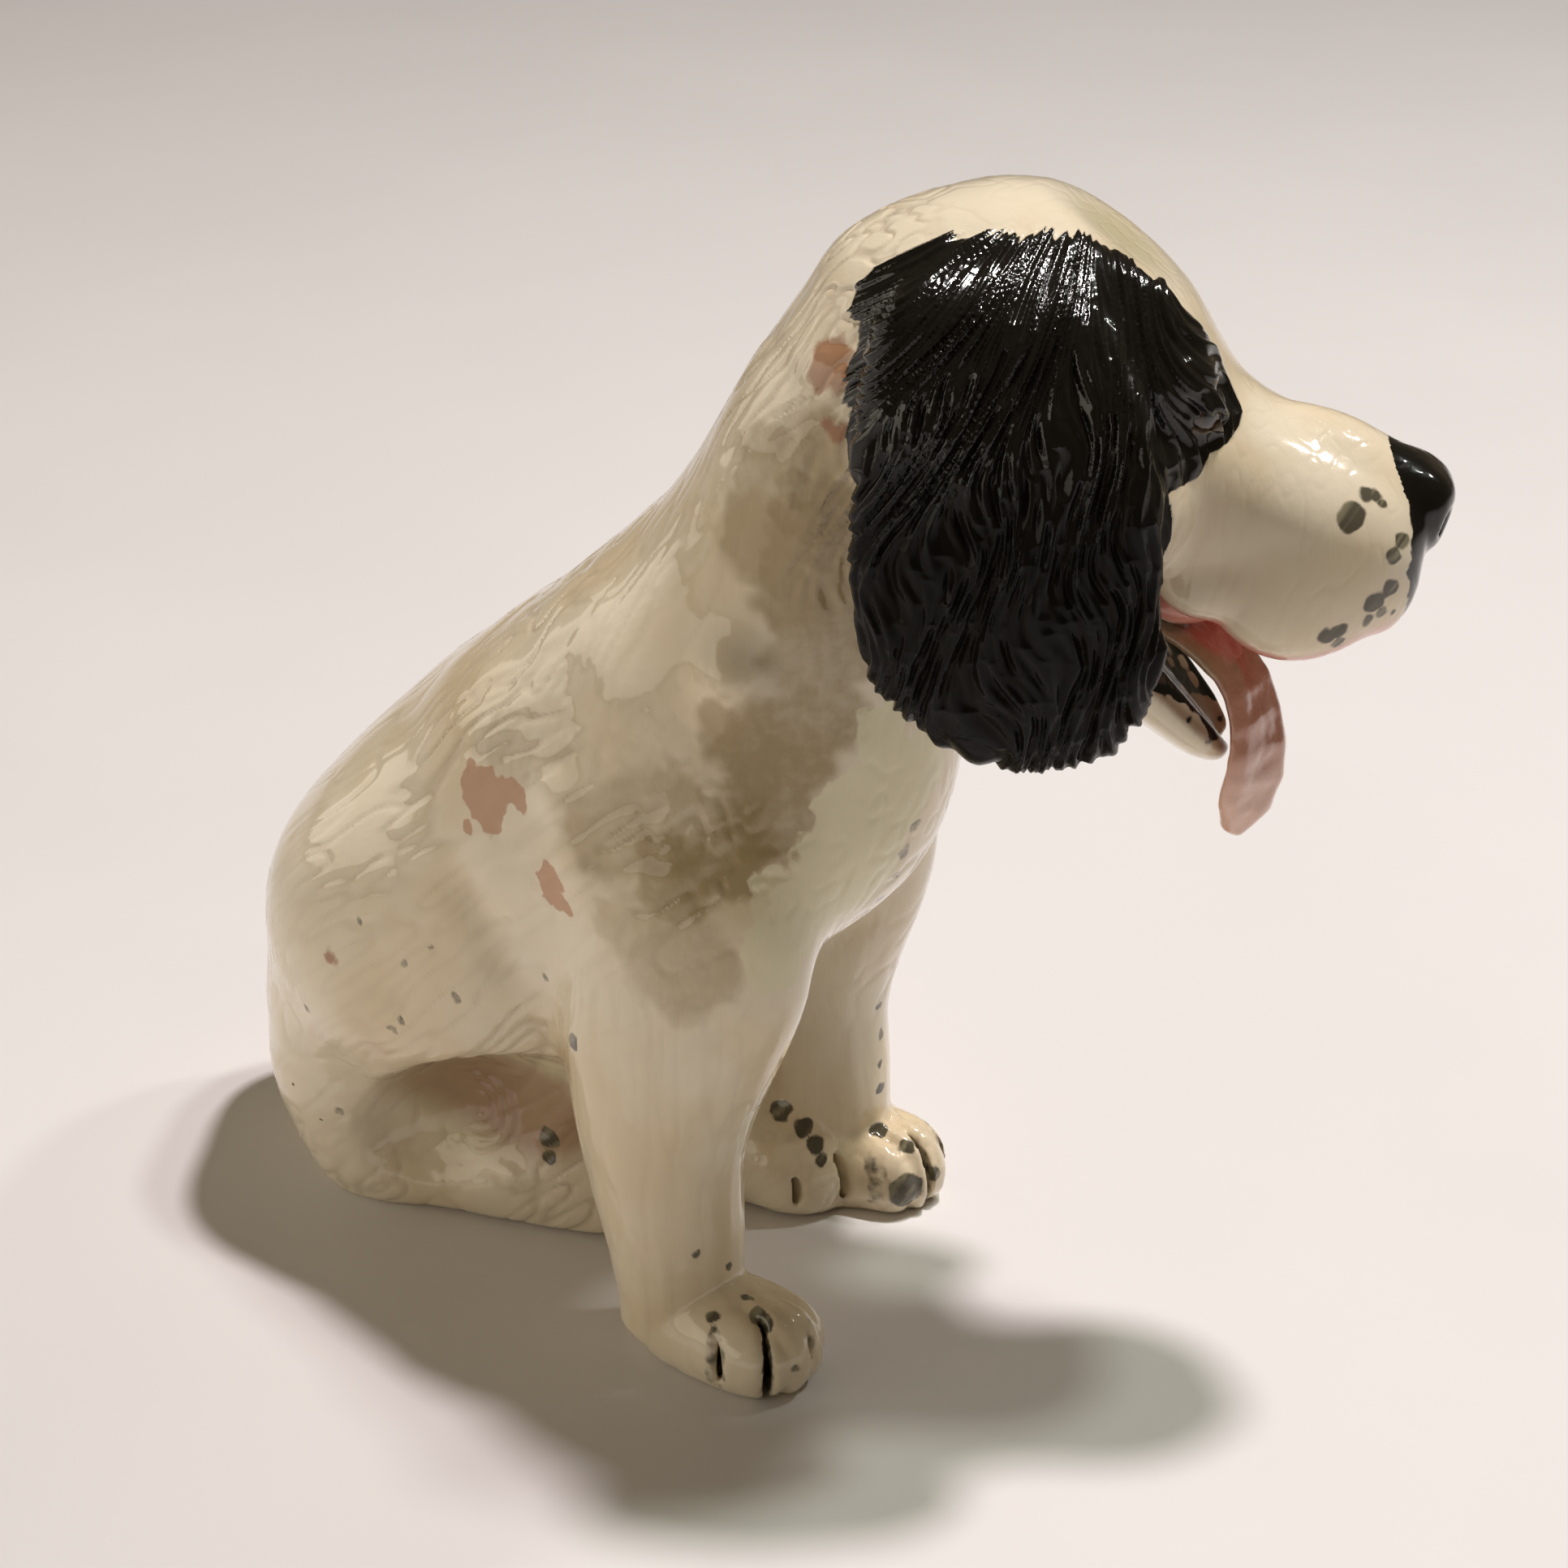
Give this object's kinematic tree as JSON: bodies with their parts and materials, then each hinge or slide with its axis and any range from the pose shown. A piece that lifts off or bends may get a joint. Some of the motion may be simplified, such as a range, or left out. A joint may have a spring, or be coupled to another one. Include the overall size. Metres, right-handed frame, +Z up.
{
  "type": "staffordshire dog figure",
  "caption": "Seated spaniel ornament in hand-painted glazed pottery, cream with black ears and spots, head turned and mouth open with the tongue hanging out",
  "frame": {"origin": "on the floor under the middle of the figure's bounding box", "axes": "+X the way the seated body faces, +Y to the dog's left, +Z up from the flat base"},
  "size_m": [0.1084, 0.0458, 0.104],
  "materials": {
    "cream_glaze": "hand-painted cream under a heavy clear gloss glaze",
    "black_glaze": "hand-painted black under a clear gloss glaze",
    "pink_glaze": "hand-painted pink under a clear gloss glaze",
    "brown_glaze": "hand-painted brown under a clear gloss glaze"
  },
  "bodies": {
    "root": {"torso": "cream_glaze", "right_foreleg": "cream_glaze", "left_foreleg": "cream_glaze", "right_haunch": "cream_glaze", "left_haunch": "cream_glaze", "right_hind_foot": "cream_glaze", "left_hind_foot": "cream_glaze", "tail": "cream_glaze", "head": "cream_glaze", "lower_jaw": "cream_glaze", "tongue": "pink_glaze", "right_ear": "black_glaze", "left_ear": "black_glaze", "nose": "black_glaze", "right_eye": "brown_glaze", "left_eye": "brown_glaze"}
  },
  "joints": []
}
